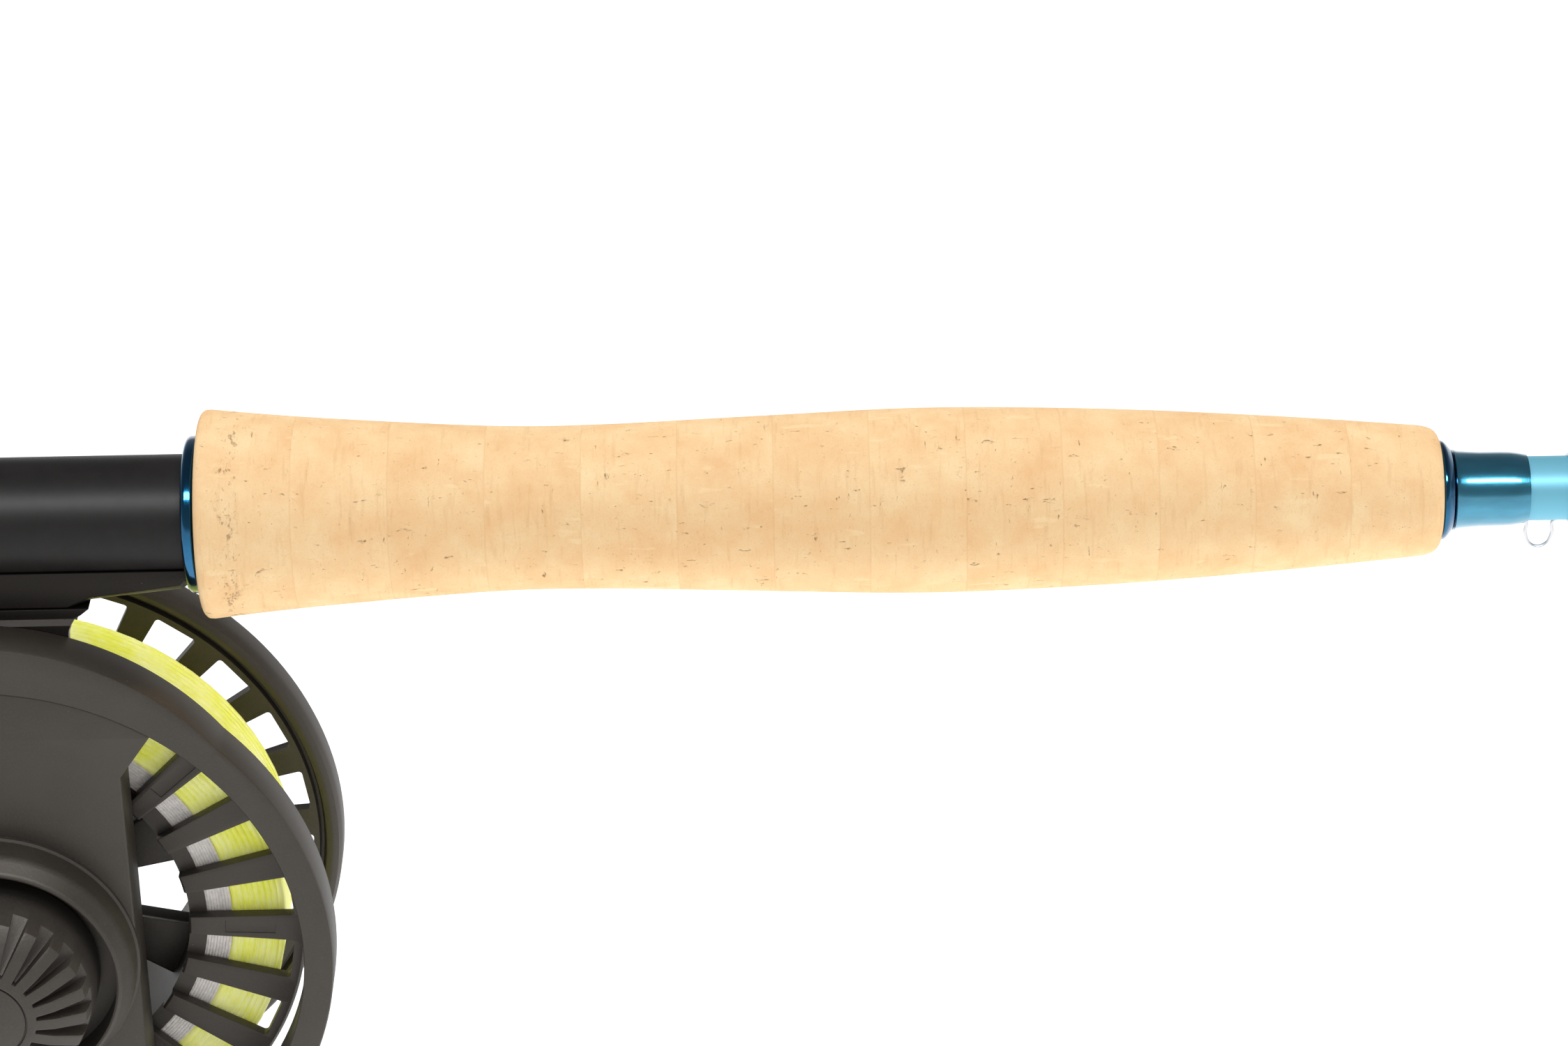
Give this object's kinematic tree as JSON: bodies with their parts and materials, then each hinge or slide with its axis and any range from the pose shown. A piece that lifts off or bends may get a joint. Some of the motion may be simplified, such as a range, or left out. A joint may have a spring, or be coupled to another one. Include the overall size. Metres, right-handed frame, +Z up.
{
  "type": "fly rod and reel",
  "caption": "Fly rod with a half-wells cork grip, blue blank in joined sections and a large-arbor reel locked under its seat.",
  "frame": {"origin": "centre of the butt cap's flat rear face, on the rod's axis", "axes": "+X along the rod towards its tip, +Z up, with the reel hanging to -Z, its drag knob towards -Y and its handle towards +Y"},
  "size_m": [2.7428, 0.0762, 0.1188],
  "materials": {
    "seat_black": "satin black anodised",
    "reel_black": "matte black anodised casting",
    "blue_anodised": "gloss blue anodised",
    "blue_blank": "clear-coated metallic blue",
    "thread_wrap": "blue thread under clear epoxy",
    "bright_steel": "bright wire",
    "ring_ceramic": "polished dark ceramic",
    "drag_fibre": "carbon fibre washer",
    "handle_black": "moulded",
    "fly_line": "coated line",
    "backing": "braided",
    "cork": "sanded natural cork"
  },
  "bodies": {
    "rod_butt": {"reel_frame": "reel_black", "spindle": "bright_steel", "drag_pressure_plate": "bright_steel", "drag_washer": "drag_fibre", "drag_disc": "bright_steel", "drag_disc_spring": "bright_steel", "blank_butt_section": "blue_blank", "butt_cap": "seat_black", "seat_barrel": "seat_black", "reel_foot": "reel_black", "cork_ring_01": "cork", "cork_ring_02": "cork", "cork_ring_03": "cork", "cork_ring_04": "cork", "cork_ring_05": "cork", "cork_ring_06": "cork", "cork_ring_07": "cork", "cork_ring_08": "cork", "cork_ring_09": "cork", "cork_ring_10": "cork", "cork_ring_11": "cork", "cork_ring_12": "cork", "cork_ring_13": "cork", "fixed_hood": "seat_black", "hood_trim_ring": "blue_anodised", "winding_check": "blue_anodised", "grip_wrap": "thread_wrap", "hook_keeper": "bright_steel", "keeper_wrap": "thread_wrap", "foot_screw_1": "bright_steel", "foot_screw_2": "bright_steel"},
    "sliding_hood": {"sliding_hood": "seat_black"},
    "lock_nut": {"lock_nut": "seat_black"},
    "jam_nut": {"jam_nut": "seat_black"},
    "blank_second": {"blank_second_section": "blue_blank", "stripping_guide_frame": "bright_steel", "stripping_guide_ring": "ring_ceramic", "snake_guide_1": "bright_steel", "snake_guide_2": "bright_steel"},
    "blank_third": {"blank_third_section": "blue_blank", "snake_guide_3": "bright_steel", "snake_guide_4": "bright_steel", "snake_guide_5": "bright_steel"},
    "blank_tip": {"blank_tip_section": "blue_blank", "tip_top": "bright_steel", "snake_guide_6": "bright_steel", "snake_guide_7": "bright_steel", "snake_guide_8": "bright_steel"},
    "drag_knob": {"drag_knob": "reel_black"},
    "spool": {"spool": "reel_black", "clutch_bearing": "bright_steel", "spool_hub_cap": "reel_black", "backing_winding": "backing", "fly_line_winding": "fly_line", "handle_pin": "bright_steel", "handle_collar": "reel_black", "latch_spring": "bright_steel"},
    "handle_knob": {"handle_knob": "handle_black"},
    "release_latch": {"release_latch": "bright_steel"}
  },
  "joints": [
    {"name": "spool_spin", "type": "hinge", "parent": "rod_butt", "child": "spool", "pos_m": [0.0675, 0, -0.0598], "axis": [0, 1, 0], "continuous": true},
    {"name": "handle_knob_spin", "type": "hinge", "parent": "spool", "child": "handle_knob", "pos_m": [0.03731, 0, -0.07941], "axis": [0, 1, 0], "continuous": true},
    {"name": "drag_knob_turn", "type": "hinge", "parent": "rod_butt", "child": "drag_knob", "pos_m": [0.0675, 0, -0.0598], "axis": [0, -1, 0], "range_deg": [0, 330]},
    {"name": "release_latch_press", "type": "slide", "parent": "spool", "child": "release_latch", "axis": [0, 0, -1], "range_m": [0, 0.0015], "stiffness_N_per_m": 300, "springref_m": -0.001, "deforming": ["latch_spring"]},
    {"name": "hood_slide", "type": "slide", "parent": "rod_butt", "child": "sliding_hood", "axis": [-1, 0, 0], "range_m": [0, 0.012]},
    {"name": "lock_nut_turn", "type": "hinge", "parent": "sliding_hood", "child": "lock_nut", "pos_m": [0.027, 0, 0], "axis": [-1, 0, 0], "range_deg": [0, 2882]},
    {"name": "jam_nut_turn", "type": "hinge", "parent": "sliding_hood", "child": "jam_nut", "pos_m": [0.022, 0, 0], "axis": [-1, 0, 0], "range_deg": [0, 2882]},
    {"name": "ferrule_1_pull", "type": "slide", "parent": "rod_butt", "child": "blank_second", "axis": [1, 0, 0], "range_m": [0, 0.05]},
    {"name": "ferrule_2_pull", "type": "slide", "parent": "blank_second", "child": "blank_third", "axis": [1, 0, 0], "range_m": [0, 0.05]},
    {"name": "ferrule_3_pull", "type": "slide", "parent": "blank_third", "child": "blank_tip", "axis": [1, 0, 0], "range_m": [0, 0.05]}
  ],
  "couplings": [
    {"joint": "lock_nut_turn", "follows": "hood_slide", "rad_per_m": 4188.8},
    {"joint": "jam_nut_turn", "follows": "hood_slide", "rad_per_m": 4188.8}
  ]
}
